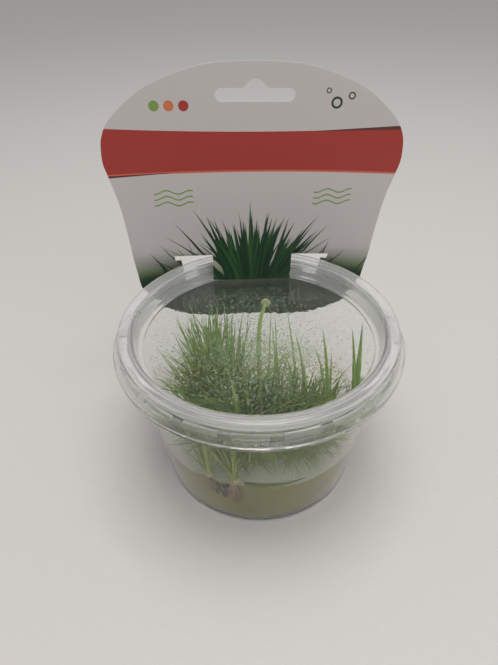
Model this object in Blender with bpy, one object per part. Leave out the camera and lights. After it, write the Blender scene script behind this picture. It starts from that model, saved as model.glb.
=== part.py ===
"""Aquarium plant in a tissue culture cup: round clear cup, pressed-on lid, hanging card, gel and plantlets.

Metres, +Z up. The origin is the centre of the cup's flat base. The card stands at the back, at +Y.
"""
import math
import random

import bmesh
import bpy
from mathutils import Matrix, Vector

MM = 0.001
GAP = 0.3 * MM
TURNS = 48

# Cup
BASE_CORNER = 1.0 * MM
BASE_RADIUS = 37.7 * MM
RIM_RADIUS = 44.3 * MM
WALL = 0.7 * MM
FLOOR = 1.2 * MM
FLOOR_FILLET = 3.0 * MM
FLANGE_BOTTOM = 56.6 * MM
CUP_FLANGE_THICKNESS = 1.0 * MM
CUP_FLANGE_RADIUS = 50.2 * MM
LIP_TOP = 63.5 * MM
LIP_FLARE = 0.7 * MM
LIP_BEAD = 0.7 * MM
LIP_BEAD_DROP = 1.3 * MM
LIP_BEAD_HEIGHT = 0.9 * MM

# Lid
LID_FLANGE_RADIUS = 50.5 * MM
LID_FLANGE_TOP = 59.1 * MM
LID_FLANGE_THICKNESS = 1.2 * MM
FLANGE_EDGE = 0.3 * MM
LID_TOP = 65.6 * MM
LID_WALL = 0.9 * MM
SKIRT_RADIUS = 48.5 * MM
SKIRT_STEP = 0.4 * MM
SKIRT_STEP_HEIGHT = 61.2 * MM
RING_INNER_RADIUS = 43.45 * MM
RING_ROUND = 1.4 * MM
RECESS_RADIUS = 42.1 * MM
GROOVE_TOP = 58.0 * MM
GROOVE_INNER_RADIUS = 41.0 * MM
GROOVE_SLOPE = 0.5 * MM
DISC_TOP = 58.5 * MM
DISC_THICKNESS = 1.0 * MM
PADS = 20
PAD_ANGLE = math.radians(13.2)
PAD_DEPTH = 1.3 * MM
PAD_LOW = LID_FLANGE_TOP + 0.2 * MM
PAD_HIGH = SKIRT_STEP_HEIGHT - SKIRT_STEP - 0.1 * MM
PAD_CHAMFER = 0.4 * MM
PAD_ROOT = 0.6 * MM

# Card, in its own width and its height above CARD_FOOT
CARD_FOOT = 58.2 * MM
CARD_PLANE = 36.0 * MM
CARD_THICKNESS = 0.5 * MM
CARD_TURN = math.radians(1.7)
CARD_ROUND_CUP = math.radians(-2.2)
CARD_HALF_OUTLINE = (
    (0, 80.8), (13.5, 80.2), (24.0, 77.8), (35.0, 73.5), (43.0, 68.0), (48.8, 62.4),
    (51.4, 57.5), (52.2, 53.0), (52.2, 48.5), (51.0, 43.5), (49.0, 35.0), (47.7, 25.0),
    (46.8, 14.0), (46.2, 3.0), (45.0, -5.0), (41.5, -11.5), (35.0, -17.0), (26.0, -22.6),
    (14.0, -26.9), (0, -28.3),
)
CARD_SPAN_STEPS = 2
HANG_HALF_WIDTH = 13.2 * MM
HANG_HEIGHT = 70.9 * MM
HANG_HALF_HEIGHT = 2.1 * MM
HANG_BUMP_RADIUS = 3.6 * MM
HANG_BUMP_TOP = 75.6 * MM
TONGUE_HALF_WIDTH = 15.6 * MM
TONGUE_FOOT = 0.9 * MM
BAND_TOP = 0.4 * MM
SLIT_SIDE = 16.0 * MM
STRIP_TOP = 1.5 * MM
LEG_INNER = 23.0 * MM
LEG_OUTER = 28.4 * MM
LEG_FOOT = -3.4 * MM
BAR_OUTER = 30.7 * MM
BAR_BOTTOM = 8.0 * MM
BAR_TOP = 11.7 * MM
BULGE_DEPTH = 16.2 * MM
BULGE_WIDTH = 33.5 * MM
BULGE_FULL_BELOW = 2.0 * MM
BULGE_NONE_ABOVE = 14.0 * MM
BEND_COLUMN = 5.5 * MM
BEND_HALF_WIDTH = 46.0 * MM
BEND_LEVELS = (BULGE_NONE_ABOVE, 11.0 * MM, BAR_BOTTOM, 5.0 * MM, BULGE_FULL_BELOW)

# Gel
GEL_TOP = 23.6 * MM
POCKETS = ((-13.0, -34.0, 8.0, 5.2), (-21.2, -31.6, 15.0, 3.2))

# Plants, in millimetres
ROOM = 1.0
LEAF_STEPS = 4
LEAF_CLEARANCE = 0.9
LEAF_TRIES = 60
CROWN_FLATNESS = 0.48
CROWN_LIFT = 0.35


def named_material(name, colour, roughness, alpha=1.0):
    """A Principled material in the colour, roughness and opacity given."""
    material = bpy.data.materials.new(name)
    material.use_nodes = True
    shader = material.node_tree.nodes["Principled BSDF"]
    shader.inputs["Base Color"].default_value = (*colour, 1.0)
    shader.inputs["Roughness"].default_value = roughness
    shader.inputs["Metallic"].default_value = 0.0
    shader.inputs["Alpha"].default_value = alpha
    return material


def make_object(name, bm, material):
    """An object made from a bmesh, with its faces turned outward and its round faces smooth."""
    bmesh.ops.recalc_face_normals(bm, faces=bm.faces)
    mesh = bpy.data.meshes.new(name)
    bm.to_mesh(mesh)
    bm.free()
    mesh.materials.append(material)
    mesh.shade_smooth()
    mesh.set_sharp_from_angle(angle=math.radians(35))
    thing = bpy.data.objects.new(name, mesh)
    bpy.context.scene.collection.objects.link(thing)
    return thing


def arc(x, z, radius, start, end, steps):
    """Points of a circle's arc in a profile, with the angles in degrees."""
    angles = [math.radians(start + (end - start) * i / steps) for i in range(steps + 1)]
    return [(x + radius * math.cos(a), z + radius * math.sin(a)) for a in angles]


def turned(name, profile, material):
    """A solid turned round the Z axis from a closed profile of radius and height."""
    bm = bmesh.new()
    rings = []
    for radius, height in profile:
        if radius < 0.01 * MM:
            rings.append([bm.verts.new((0, 0, height))] * TURNS)
            continue
        angles = [math.tau * k / TURNS for k in range(TURNS)]
        rings.append([bm.verts.new((radius * math.cos(a), radius * math.sin(a), height)) for a in angles])
    for lower, upper in zip(rings, rings[1:] + rings[:1]):
        for k in range(TURNS):
            corners = [lower[k], lower[(k + 1) % TURNS], upper[(k + 1) % TURNS], upper[k]]
            corners = list(dict.fromkeys(corners))
            if len(corners) > 2:
                bm.faces.new(corners)
    return make_object(name, bm, material)


def inner_radius(height):
    """Radius of the cup's inner wall at a height."""
    return BASE_RADIUS + (RIM_RADIUS - BASE_RADIUS) * height / FLANGE_BOTTOM - WALL


def make_cup(material):
    """The cup: flat base, flared wall, flange, and a lip with a snap bead above the flange."""
    flange_top = FLANGE_BOTTOM + CUP_FLANGE_THICKNESS
    flange_round = CUP_FLANGE_THICKNESS - FLANGE_EDGE
    lip_inner = RIM_RADIUS - WALL + LIP_FLARE
    wall_foot = inner_radius(FLOOR + FLOOR_FILLET)
    bead_top = LIP_TOP - LIP_BEAD_DROP
    profile = [(0, 0), (BASE_RADIUS - BASE_CORNER, 0)]
    profile += arc(BASE_RADIUS - BASE_CORNER, BASE_CORNER, BASE_CORNER, -60, 0, 2)
    profile += [(RIM_RADIUS, FLANGE_BOTTOM), (CUP_FLANGE_RADIUS - FLANGE_EDGE, FLANGE_BOTTOM)]
    profile += [(CUP_FLANGE_RADIUS, FLANGE_BOTTOM + FLANGE_EDGE)]
    profile += [(CUP_FLANGE_RADIUS, FLANGE_BOTTOM + flange_round)]
    profile += [(CUP_FLANGE_RADIUS - FLANGE_EDGE, flange_top), (RIM_RADIUS, flange_top)]
    profile += [(lip_inner + WALL, bead_top - LIP_BEAD_HEIGHT), (lip_inner + WALL + LIP_BEAD, bead_top)]
    profile += [(lip_inner + WALL, LIP_TOP), (lip_inner, LIP_TOP)]
    profile += [(RIM_RADIUS - WALL, flange_top), (inner_radius(FLANGE_BOTTOM), FLANGE_BOTTOM)]
    profile += arc(wall_foot - FLOOR_FILLET, FLOOR + FLOOR_FILLET, FLOOR_FILLET, 0, -90, 4)
    profile += [(0, FLOOR)]
    return turned("cup", profile, material)


def make_lid(material):
    """The lid: sunken disc with a groove, hollow ring, stepped skirt with snap pads, and flange."""
    crest = SKIRT_RADIUS - RING_ROUND
    inner_crest = RING_INNER_RADIUS + RING_ROUND
    hollow = RING_ROUND - LID_WALL
    channel_top = LID_TOP - LID_WALL
    step_radius = SKIRT_RADIUS + SKIRT_STEP
    step_foot = SKIRT_STEP_HEIGHT - SKIRT_STEP
    flange_bottom = LID_FLANGE_TOP - LID_FLANGE_THICKNESS
    flange_inner = LID_FLANGE_RADIUS - FLANGE_EDGE
    disc_bottom = DISC_TOP - DISC_THICKNESS
    groove_bottom = GROOVE_TOP - DISC_THICKNESS
    disc_radius = GROOVE_INNER_RADIUS - GROOVE_SLOPE
    profile = [(0, disc_bottom), (disc_radius, disc_bottom), (GROOVE_INNER_RADIUS, groove_bottom)]
    profile += [(RECESS_RADIUS + FLANGE_EDGE, groove_bottom), (RECESS_RADIUS + LID_WALL, GROOVE_TOP)]
    profile += [(RING_INNER_RADIUS + LID_WALL, channel_top - hollow), (inner_crest, channel_top)]
    profile += [(crest, channel_top), (SKIRT_RADIUS - LID_WALL, channel_top - hollow)]
    profile += [(SKIRT_RADIUS - LID_WALL, SKIRT_STEP_HEIGHT), (step_radius - LID_WALL, step_foot)]
    profile += [(step_radius - LID_WALL, flange_bottom), (flange_inner, flange_bottom)]
    profile += [(LID_FLANGE_RADIUS, flange_bottom + FLANGE_EDGE)]
    profile += [(LID_FLANGE_RADIUS, LID_FLANGE_TOP - FLANGE_EDGE)]
    profile += [(flange_inner, LID_FLANGE_TOP), (step_radius, LID_FLANGE_TOP)]
    profile += [(step_radius, step_foot), (SKIRT_RADIUS, SKIRT_STEP_HEIGHT)]
    profile += arc(crest, LID_TOP - RING_ROUND, RING_ROUND, 0, 90, 4)
    profile += arc(inner_crest, LID_TOP - RING_ROUND, RING_ROUND, 90, 175, 4)
    profile += [(RECESS_RADIUS, GROOVE_TOP), (GROOVE_INNER_RADIUS, GROOVE_TOP)]
    profile += [(disc_radius, DISC_TOP), (0, DISC_TOP)]
    lid = turned("lid", profile, material)
    pads = make_pads(step_radius - LID_WALL, material)
    union = lid.modifiers.new("Snap pads", "BOOLEAN")
    union.operation = "UNION"
    union.object = pads
    union.solver = "EXACT"
    return lid


def make_pads(wall_radius, material):
    """The blocks inside the skirt that snap under the cup's bead."""
    bm = bmesh.new()
    inner, outer = wall_radius - PAD_DEPTH, wall_radius + PAD_ROOT
    section = ((inner, PAD_LOW + PAD_CHAMFER), (outer, PAD_LOW), (outer, PAD_HIGH), (inner, PAD_HIGH))
    for pad in range(PADS):
        middle = math.tau * (pad + 0.5) / PADS
        ends = []
        for angle in (middle - PAD_ANGLE / 2, middle + PAD_ANGLE / 2):
            corners = []
            for radius, height in section:
                corners.append(bm.verts.new((radius * math.cos(angle), radius * math.sin(angle), height)))
            ends.append(corners)
        one, two = ends
        for i in range(4):
            bm.faces.new((one[i], one[(i + 1) % 4], two[(i + 1) % 4], two[i]))
        bm.faces.new(one)
        bm.faces.new(two)
    return hide_cutter(make_object("pad_cutter", bm, material))


def hide_cutter(thing):
    """Keeps a cutter out of the finished model."""
    thing.hide_render = True
    thing.display_type = "WIRE"
    return thing


def smooth_outline(points, steps):
    """A curve through the points, with steps on each span."""
    smooth = []
    for i in range(len(points) - 1):
        before = points[max(i - 1, 0)]
        a, b = points[i], points[i + 1]
        after = points[min(i + 2, len(points) - 1)]
        for k in range(steps):
            t = k / steps
            smooth.append(tuple(
                0.5 * (2 * a[j] + (b[j] - before[j]) * t
                       + (2 * before[j] - 5 * a[j] + 4 * b[j] - after[j]) * t * t
                       + (3 * a[j] - before[j] - 3 * b[j] + after[j]) * t ** 3)
                for j in (0, 1)
            ))
    smooth.append(points[-1])
    return smooth


def mirrored(half):
    """A closed outline from its right half, whose first and last points lie on the middle line."""
    return list(half) + [(-x, z) for x, z in reversed(half[1:-1])]


def hang_hole():
    """The hang hole: a long slot with round ends and a round bump in the middle of its top."""
    end = HANG_HALF_WIDTH - HANG_HALF_HEIGHT
    top = HANG_HEIGHT + HANG_HALF_HEIGHT
    half = [(0, HANG_HEIGHT - HANG_HALF_HEIGHT)]
    half += arc(end, HANG_HEIGHT, HANG_HALF_HEIGHT, -90, 90, 6)
    half += [(HANG_BUMP_RADIUS, top)]
    half += arc(0, HANG_BUMP_TOP - HANG_BUMP_RADIUS, HANG_BUMP_RADIUS, 20, 90, 4)
    half[-1] = (0, HANG_BUMP_TOP)
    return mirrored(half)


def clip_cut():
    """The cut that frees the tongue: a slit under it, and a hole beside it for the ring to pass through."""
    return mirrored([
        (0, BAND_TOP), (SLIT_SIDE, BAND_TOP), (SLIT_SIDE, STRIP_TOP), (LEG_INNER, STRIP_TOP),
        (LEG_INNER, LEG_FOOT), (LEG_OUTER, LEG_FOOT), (LEG_OUTER, BAR_BOTTOM), (BAR_OUTER, BAR_BOTTOM),
        (BAR_OUTER, BAR_TOP), (TONGUE_HALF_WIDTH, BAR_TOP), (TONGUE_HALF_WIDTH, TONGUE_FOOT),
        (0, TONGUE_FOOT),
    ])


def card_bulge(x, z):
    """How far the card is pushed back at a place, where its lower band goes round the lid's flange."""
    near = 0.1 * MM
    if abs(x) < TONGUE_HALF_WIDTH + near and TONGUE_FOOT - near < z < BULGE_NONE_ABOVE:
        return 0.0
    t = min(max((BULGE_NONE_ABOVE - z) / (BULGE_NONE_ABOVE - BULGE_FULL_BELOW), 0.0), 1.0)
    return BULGE_DEPTH * math.exp(-((x / BULGE_WIDTH) ** 2)) * t * t * (3 - 2 * t)


def make_card(material):
    """The card: a thin sheet with its holes, bent back below the ring everywhere but at the tongue."""
    bm = bmesh.new()
    half = [(x * MM, z * MM) for x, z in CARD_HALF_OUTLINE]
    for outline in (mirrored(smooth_outline(half, CARD_SPAN_STEPS)), hang_hole(), clip_cut()):
        verts = [bm.verts.new((x, 0, z)) for x, z in outline]
        for one, two in zip(verts, verts[1:] + verts[:1]):
            bm.edges.new((one, two))
    bmesh.ops.triangle_fill(bm, use_beauty=True, use_dissolve=False, edges=bm.edges[:], normal=(0, -1, 0))
    for level in BEND_LEVELS:
        cut_sheet(bm, (0, 0, level), (0, 0, 1), BULGE_NONE_ABOVE + BEND_COLUMN)
    columns = round(BEND_HALF_WIDTH / BEND_COLUMN)
    for column in range(-columns, columns + 1):
        cut_sheet(bm, (column * BEND_COLUMN, 0, 0), (1, 0, 0), BULGE_NONE_ABOVE)
    back = bmesh.ops.extrude_face_region(bm, geom=bm.faces[:])["geom"]
    back_verts = [v for v in back if isinstance(v, bmesh.types.BMVert)]
    bmesh.ops.translate(bm, verts=back_verts, vec=(0, CARD_THICKNESS, 0))
    for vert in bm.verts:
        vert.co.y += card_bulge(vert.co.x, vert.co.z) - CARD_THICKNESS / 2
    card = make_object("header_card", bm, material)
    foot = Matrix.Translation((0, CARD_PLANE, CARD_FOOT)) @ Matrix.Rotation(CARD_TURN, 4, "Y")
    card.matrix_world = Matrix.Rotation(CARD_ROUND_CUP, 4, "Z") @ foot
    return card


def cut_sheet(bm, point, normal, below):
    """Divides the part of the sheet that lies below a height along a plane."""
    faces = [f for f in bm.faces if all(v.co.z < below + 0.01 * MM for v in f.verts)]
    edges = {e for f in faces for e in f.edges}
    verts = {v for f in faces for v in f.verts}
    geom = [*faces, *edges, *verts]
    bmesh.ops.bisect_plane(bm, geom=geom, dist=0.001 * MM, plane_co=point, plane_no=normal)


def make_gel(material):
    """The gel, with the pockets that the roots hang in."""
    bottom = FLOOR + GAP
    fillet = FLOOR_FILLET
    foot = inner_radius(FLOOR + fillet) - GAP
    edge = inner_radius(GEL_TOP) - GAP
    profile = [(0, bottom)] + arc(foot - fillet, bottom + fillet, fillet, -90, 0, 4)
    profile += [(edge, GEL_TOP), (0, GEL_TOP)]
    gel = turned("gel", profile, material)
    for number, (x, y, foot_height, radius) in enumerate(POCKETS):
        bm = bmesh.new()
        height = GEL_TOP + 3 * MM - foot_height * MM
        bmesh.ops.create_cone(
            bm, cap_ends=True, segments=12, radius1=0.6 * radius * MM, radius2=radius * MM, depth=height,
            matrix=Matrix.Translation((x * MM, y * MM, foot_height * MM + height / 2)),
        )
        cutter = hide_cutter(make_object(f"pocket_cutter_{number + 1}", bm, material))
        cut = gel.modifiers.new(f"Pocket {number + 1}", "BOOLEAN")
        cut.operation = "DIFFERENCE"
        cut.object = cutter
        cut.solver = "EXACT"
    return gel


def held_in(point):
    """The nearest place to a point inside the cup, over the gel and under the lid, in millimetres."""
    roof = (DISC_TOP - DISC_THICKNESS) / MM - ROOM
    z = min(max(point.z, GEL_TOP / MM + ROOM), roof)
    limit = min(inner_radius(z * MM), GROOVE_INNER_RADIUS) / MM - ROOM
    radius = math.hypot(point.x, point.y)
    scale = min(1.0, limit / radius) if radius else 1.0
    return Vector((point.x * scale, point.y * scale, z))


def leaf_line(base, tip, lift, steps=LEAF_STEPS):
    """Points along a leaf that leaves its base steeply and arches over to its tip, in millimetres."""
    base, tip = Vector(base), Vector(tip)
    middle = base.lerp(tip, 0.35)
    middle.z = base.z + (tip.z - base.z) * lift
    points = []
    for i in range(steps + 1):
        t = i / steps
        points.append(held_in(base * (1 - t) ** 2 + middle * 2 * t * (1 - t) + tip * t * t))
    return points


def add_blade(bm, points, width, thickness):
    """A tapering leaf with a keel below, which ends in a point."""
    rings = []
    last = len(points) - 1
    side = (points[-1] - points[0]).cross(Vector((0, 0, 1))).normalized()
    for i, point in enumerate(points[:-1]):
        along = points[i + 1] - points[max(i - 1, 0)]
        out = side.cross(along).normalized()
        share = (1 - i / last) ** 0.7
        half = side * width * 0.5 * share
        keel = out * max(thickness * share, 0.25)
        rings.append([bm.verts.new(p * MM) for p in (point + half, point - half, point - keel)])
    tip = bm.verts.new(points[-1] * MM)
    for one, two in zip(rings, rings[1:]):
        for k in range(3):
            bm.faces.new((one[k], one[(k + 1) % 3], two[(k + 1) % 3], two[k]))
    for k in range(3):
        bm.faces.new((rings[-1][k], rings[-1][(k + 1) % 3], tip))
    bm.faces.new(rings[0])


def add_strand(bm, points, radii, sides=4):
    """A round tapering strand through points, closed at both ends."""
    rings = []
    for i, point in enumerate(points):
        along = (points[min(i + 1, len(points) - 1)] - points[max(i - 1, 0)]).normalized()
        side = along.orthogonal().normalized()
        other = along.cross(side)
        ring = []
        for k in range(sides):
            angle = math.tau * k / sides
            out = side * math.cos(angle) + other * math.sin(angle)
            ring.append(bm.verts.new((point + out * radii[i]) * MM))
        rings.append(ring)
    for one, two in zip(rings, rings[1:]):
        for k in range(sides):
            bm.faces.new((one[k], one[(k + 1) % sides], two[(k + 1) % sides], two[k]))
    bm.faces.new(rings[0])
    bm.faces.new(rings[-1])


def fused(name, bm, core, material):
    """One solid from a core and the blades or strands that grow from it."""
    grown = make_object(name, bm, material)
    cutter = hide_cutter(make_object(f"{name}_core_cutter", core, material))
    union = grown.modifiers.new("Grown together", "BOOLEAN")
    union.operation = "UNION"
    union.object = cutter
    union.solver = "EXACT"
    union.use_self = True
    return grown


class Plant:
    """A plantlet or a clump: crowns, chosen leaves, and a fan of further leaves drawn from a seed."""

    def __init__(self, name, crowns, crown_radius, chosen, fan=None, seed=1):
        self.name, self.crowns, self.crown_radius = name, crowns, crown_radius
        self.chosen, self.fan, self.seed = chosen, fan, seed

    def crown_base(self, index):
        """The middle of a crown, which rests on the gel."""
        x, y = self.crowns[index]
        return Vector((x, y, GEL_TOP / MM + CROWN_LIFT + self.crown_radius * CROWN_FLATNESS))

    def leaf(self, crown, tip, lift):
        """A leaf's line, from the side of its crown that faces the tip."""
        base = self.crown_base(crown)
        towards = Vector((tip[0] - base.x, tip[1] - base.y, 0)).normalized()
        return leaf_line(base + towards * 0.3 * self.crown_radius, tip, lift)

    def chosen_lines(self):
        """The leaves that have a place of their own: crown, tip, lift and width."""
        for crown, x, y, z, lift, width in self.chosen:
            yield self.leaf(crown, (x, y, z), lift), width

    def fan_leaf(self, draw):
        """One leaf of the fan."""
        crown = draw.randrange(len(self.crowns))
        middle, spread = math.radians(self.fan["towards"]), math.radians(self.fan["spread"])
        angle = middle + draw.uniform(-spread, spread)
        lean = math.radians(draw.uniform(*self.fan["lean"]))
        length = draw.uniform(*self.fan["length"])
        reach = length * math.sin(lean)
        away = Vector((math.cos(angle) * reach, math.sin(angle) * reach, length * math.cos(lean)))
        tip = self.crown_base(crown) + away
        return self.leaf(crown, tip, draw.uniform(0.55, 0.85)), draw.uniform(*self.fan["width"])


PLANTS = (
    Plant(
        "clump_left",
        ((-15, -9), (-11, -5), (-18, -4), (-12, -13), (-6.5, -14), (-9.5, -19)), 3.4,
        (
            (2, -30, 18, 55, 0.6, 1.5), (2, -24, 17, 56, 0.6, 1.4), (0, -17, 19, 56, 0.65, 1.4),
            (2, -14, 23, 55, 0.6, 1.3), (1, -11, 24, 56, 0.6, 1.3), (1, -8, 18, 56, 0.65, 1.5),
            (1, -4, 17, 56, 0.6, 1.4), (1, -1, 13, 56, 0.65, 1.3), (0, -35, 3, 52, 0.8, 1.2),
            (0, -32, -18, 50, 0.9, 3.0), (2, -33, -9, 44, 0.85, 2.4), (3, -14, -9, 56, 0.7, 2.2),
            (3, -27, -24, 45, 0.9, 2.2),
        ),
        dict(count=34, towards=180, spread=180, lean=(15, 65), length=(22, 34), width=(1.1, 1.8)), 8,
    ),
    Plant(
        "clump_middle", ((14, -12), (11, -17), (18, -8), (8, -14), (4.5, -17), (10, -21.5)), 3.0,
        (
            (0, 13, 17, 56, 0.7, 1.1), (2, 14, 4, 54, 0.8, 1.6), (0, 9, 2, 50, 0.8, 1.4),
        ),
        dict(count=32, towards=180, spread=180, lean=(20, 75), length=(14, 26), width=(0.9, 1.3)), 11,
    ),
    Plant(
        "plantlet_right", ((25, -13),), 2.4,
        (
            (0, 24, 3, 56, 0.75, 1.6), (0, 20, -2, 53, 0.75, 1.2), (0, 27, -1, 48, 0.8, 1.3),
            (0, 30, -8, 44, 0.85, 1.6), (0, 22, -20, 42, 0.85, 1.4),
        ),
        dict(count=4, towards=60, spread=70, lean=(15, 45), length=(14, 20), width=(1.0, 1.4)), 5,
    ),
    Plant(
        "plantlet_edge", ((34.6, -11.6),), 2.2,
        (
            (0, 39, 4.5, 56, 0.65, 2.6), (0, 34.6, 1.5, 56, 0.7, 2.0), (0, 37, -10, 44, 0.8, 1.4),
            (0, 34, -19, 40, 0.85, 1.3),
        ),
        dict(count=2, towards=20, spread=60, lean=(10, 30), length=(12, 18), width=(1.0, 1.4)), 3,
    ),
    Plant(
        "plantlet_front", ((-12, -34),), 2.3,
        (
            (0, -18, -32, 46, 0.8, 2.8), (0, -11, -30, 45, 0.8, 2.0), (0, -6, -34, 40, 0.8, 1.8),
        ),
    ),
    Plant(
        "plantlet_front_left", ((-20.5, -31),), 2.0,
        (
            (0, -25, -28, 43, 0.8, 2.0), (0, -22, -31, 45, 0.8, 1.8), (0, -29, -23, 38, 0.8, 1.5),
        ),
    ),
)

FALLEN_LEAF = ((-9, -37.2), (-4, -38.4), (2, -38.5), (7, -37.9), (12, -36.4))
STEM_RADIUS = 0.95
STEM_LINE = (
    (-1.0, -13, 25.0), (-0.6, -11, 34), (-0.4, -7, 44), (0.0, -1, 51), (1.0, 6, 54.4),
    (2.6, 14, 55.3), (5.6, 23, 55.3),
)
ROOT_FANS = (
    ("roots_front", (-12.4, -33.8), 2.9, 8, 10.5, 21),
    ("roots_left", (-20.8, -31.0), 1.7, 4, 16.5, 22),
)


def stands_clear(line, width, others):
    """True if a leaf keeps its distance from all the leaves and stems of other plants."""
    for point in line:
        for other, other_width in others:
            if (point - other).length < 0.5 * (width + other_width) + LEAF_CLEARANCE:
                return False
    return True


def samples(line, width):
    """Places along a leaf, each with the leaf's width, close enough to see what crosses it."""
    found = []
    for a, b in zip(line, line[1:]):
        found += [(a.lerp(b, k / 8), width) for k in range(8)]
    return found


def plan_leaves():
    """Every plant's leaves as lines and widths. Leaves of different plants never cross."""
    stem = [Vector(p) for p in STEM_LINE]
    chosen = {plant.name: list(plant.chosen_lines()) for plant in PLANTS}
    taken = {"flower_stem": samples(stem, 2 * STEM_RADIUS)}
    for name, leaves in chosen.items():
        taken[name] = [spot for line, width in leaves for spot in samples(line, width)]
    for plant in PLANTS:
        draw = random.Random(plant.seed)
        for _ in range(plant.fan["count"] if plant.fan else 0):
            others = [s for name, spots in taken.items() if name != plant.name for s in spots]
            for _ in range(LEAF_TRIES):
                line, width = plant.fan_leaf(draw)
                dense = [p for p, _ in samples(line, width)]
                if stands_clear(dense[6:], width, others):
                    chosen[plant.name].append((line, width))
                    taken[plant.name] += samples(line, width)
                    break
    return chosen


def make_plant(plant, leaves, material):
    """A plant: its crowns with all its leaves fused on."""
    blades = bmesh.new()
    for line, width in leaves:
        add_blade(blades, line, width, 0.3 * width)
    core = bmesh.new()
    for index in range(len(plant.crowns)):
        shape = Matrix.Translation(plant.crown_base(index) * MM) @ Matrix.Diagonal((1, 1, CROWN_FLATNESS, 1))
        bmesh.ops.create_icosphere(core, subdivisions=2, radius=plant.crown_radius * MM, matrix=shape)
    return fused(plant.name, blades, core, material)


def make_fallen_leaf(material):
    """The leaf that lies on the gel along the front wall."""
    bm = bmesh.new()
    height = GEL_TOP / MM + LEAF_CLEARANCE
    add_blade(bm, [Vector((x, y, height)) for x, y in FALLEN_LEAF], 2.4, 0.5)
    return make_object("fallen_leaf", bm, material)


def make_stem(material):
    """The flower stem, which bends under the lid, from its swollen foot to its knob."""
    bm = bmesh.new()
    points = [Vector(p) for p in STEM_LINE]
    add_strand(bm, points, [STEM_RADIUS - 0.06 * i for i in range(len(points))], sides=6)
    core = bmesh.new()
    for point, flatness in ((points[0], 0.55), (points[-1], 0.75)):
        shape = Matrix.Translation(point * MM) @ Matrix.Diagonal((1, 1.15, flatness, 1))
        bmesh.ops.create_icosphere(core, subdivisions=2, radius=2 * STEM_RADIUS * MM, matrix=shape)
    return fused("flower_stem", bm, core, material)


def make_roots(name, place, spread, count, foot, seed, material):
    """A bundle of roots that hangs in its pocket from a small knot."""
    draw = random.Random(seed)
    top = GEL_TOP / MM - 1.0
    bm = bmesh.new()
    for k in range(count):
        angle = math.tau * (k + draw.uniform(-0.2, 0.2)) / count
        reach = spread * draw.uniform(0.5, 0.85)
        tip_height = foot + draw.uniform(0, 4)
        points = []
        for i in range(6):
            t = i / 5
            bow = math.sin(math.pi * t) * draw.uniform(-0.3, 0.3)
            points.append(Vector((
                place[0] + math.cos(angle) * reach * t ** 0.7 * (1 - 0.25 * t) + bow,
                place[1] + math.sin(angle) * reach * t ** 0.7 * (1 - 0.25 * t) - bow,
                top + (tip_height - top) * t,
            )))
        add_strand(bm, points, [0.42 - 0.05 * i for i in range(6)], sides=4)
    core = bmesh.new()
    shape = Matrix.Translation((place[0] * MM, place[1] * MM, top * MM)) @ Matrix.Diagonal((1, 1, 0.7, 1))
    bmesh.ops.create_icosphere(core, subdivisions=1, radius=1.5 * MM, matrix=shape)
    return fused(name, bm, core, material)


def clear_scene():
    """Removes whatever the scene holds."""
    for thing in list(bpy.data.objects):
        bpy.data.objects.remove(thing, do_unlink=True)


def main():
    clear_scene()
    clear_plastic = named_material("clear plastic", (0.80, 0.82, 0.80), 0.15, 0.3)
    card = named_material("printed card", (0.62, 0.58, 0.60), 0.3)
    gel = named_material("gel", (0.42, 0.38, 0.22), 0.2, 0.7)
    leaf = named_material("leaf green", (0.14, 0.22, 0.06), 0.5)
    pale_leaf = named_material("pale leaf green", (0.30, 0.38, 0.12), 0.5)
    root = named_material("root", (0.42, 0.22, 0.17), 0.6)
    make_cup(clear_plastic)
    make_lid(clear_plastic)
    make_card(card)
    make_gel(gel)
    leaves = plan_leaves()
    for plant in PLANTS:
        make_plant(plant, leaves[plant.name], leaf)
    make_fallen_leaf(leaf)
    make_stem(pale_leaf)
    for name, place, spread, count, foot, seed in ROOT_FANS:
        make_roots(name, place, spread, count, foot, seed, root)


main()
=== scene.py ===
import math
import random
from collections import namedtuple

import bmesh
import bpy
from mathutils import Matrix, Vector
from mathutils.geometry import delaunay_2d_cdt


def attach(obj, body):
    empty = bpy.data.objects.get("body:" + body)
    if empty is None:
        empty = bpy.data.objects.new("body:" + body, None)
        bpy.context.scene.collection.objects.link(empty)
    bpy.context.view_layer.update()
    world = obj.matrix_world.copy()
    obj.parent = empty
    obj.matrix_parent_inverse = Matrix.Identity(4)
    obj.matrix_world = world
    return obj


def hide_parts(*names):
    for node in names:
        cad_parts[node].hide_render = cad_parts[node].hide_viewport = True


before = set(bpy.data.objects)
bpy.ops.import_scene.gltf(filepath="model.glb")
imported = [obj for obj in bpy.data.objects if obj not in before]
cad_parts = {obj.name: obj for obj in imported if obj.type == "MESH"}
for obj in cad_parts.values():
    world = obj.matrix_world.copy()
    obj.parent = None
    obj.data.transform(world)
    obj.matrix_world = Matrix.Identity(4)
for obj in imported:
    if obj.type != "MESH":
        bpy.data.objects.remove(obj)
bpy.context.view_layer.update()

MM = 0.001
TURNS = 144
# Refractive index of the plastics, set under real plastic's so that reflections don't veil what is inside
DISC_IOR, SKIRT_IOR, RING_IOR, PAD_IOR = 1.25, 1.30, 1.42, 1.18
WATER_IOR, GEL_IOR = 1.33, 1.34

# Camera
CAMERA_PLACE = Vector((-15.14, -137.10, 169.70)) * MM
CAMERA_FORWARD = Vector((0.06725, 0.77832, -0.62426))
CAMERA_ROLL = math.radians(-1.21)
CAMERA_LENS, CAMERA_FILM = 27.0, 36.0

# Cup. Sizes are in millimetres, apart from those of lights, floor and materials
BASE_RADIUS, RIM_RADIUS, WALL, FLOOR, FLOOR_FILLET = 37.7, 44.3, 0.7, 1.2, 3.0
FLANGE_BOTTOM, CUP_FLANGE, CUP_FLANGE_RADIUS = 56.6, 1.0, 50.2
LIP_TOP, LIP_FLARE, LIP_BEAD = 63.5, 0.7, 0.7

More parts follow.
